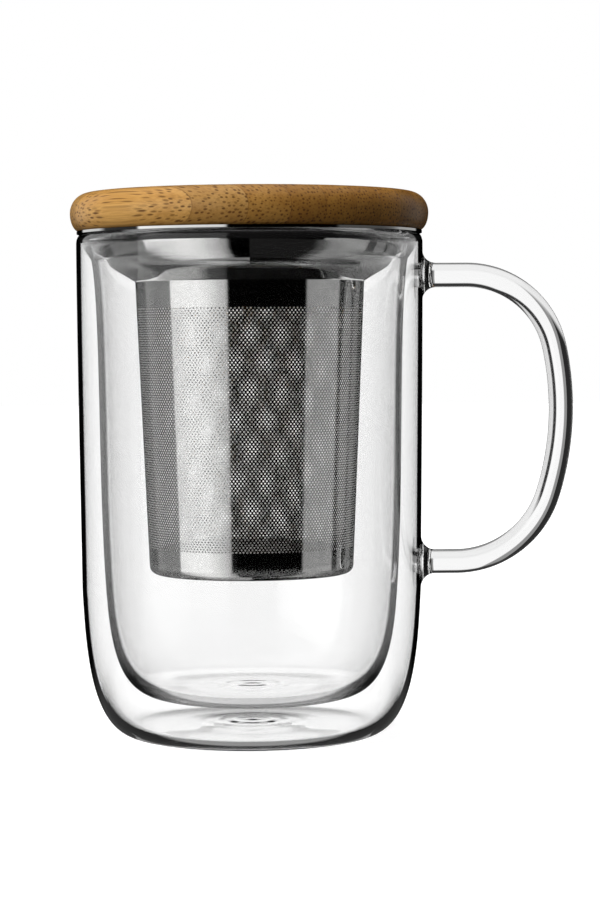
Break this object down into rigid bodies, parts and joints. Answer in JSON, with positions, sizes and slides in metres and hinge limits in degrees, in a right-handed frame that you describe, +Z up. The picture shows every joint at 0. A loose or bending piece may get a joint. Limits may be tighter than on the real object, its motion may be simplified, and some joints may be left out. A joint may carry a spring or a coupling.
{
  "type": "lidded tea mug with infuser",
  "caption": "Tall double-walled glass tea mug with a rod handle, a perforated steel infuser that hangs by its flat rim, and a round bamboo lid that lifts off.",
  "frame": {"origin": "middle of the foot, on the plane that the mug stands on", "axes": "+Z up along the mug's axis, +X towards the handle, -Y towards the front"},
  "size_m": [0.1243, 0.0884, 0.134],
  "materials": {
    "glass": "clear, polished",
    "steel": "satin",
    "bamboo": "oiled bamboo, fine fibres",
    "silicone": "matt"
  },
  "bodies": {
    "mug": {"outer_glass": "glass", "inner_glass": "glass", "handle": "glass"},
    "infuser": {"infuser_collar": "steel", "infuser_screen": "steel", "infuser_base": "steel"},
    "lid": {"lid_plug": "bamboo", "lid_seal": "silicone", "lid_strip_1": "bamboo", "lid_strip_2": "bamboo", "lid_strip_3": "bamboo", "lid_strip_4": "bamboo", "lid_strip_5": "bamboo", "lid_strip_6": "bamboo", "lid_strip_7": "bamboo", "lid_strip_8": "bamboo", "lid_strip_9": "bamboo", "lid_strip_10": "bamboo", "lid_strip_11": "bamboo", "lid_strip_12": "bamboo"}
  },
  "joints": [
    {"name": "infuser_lift", "type": "slide", "parent": "mug", "child": "infuser", "axis": [0, 0, 1], "range_m": [0, 0.09]},
    {"name": "lid_lift", "type": "slide", "parent": "infuser", "child": "lid", "axis": [0, 0, 1], "range_m": [0, 0.04]}
  ]
}
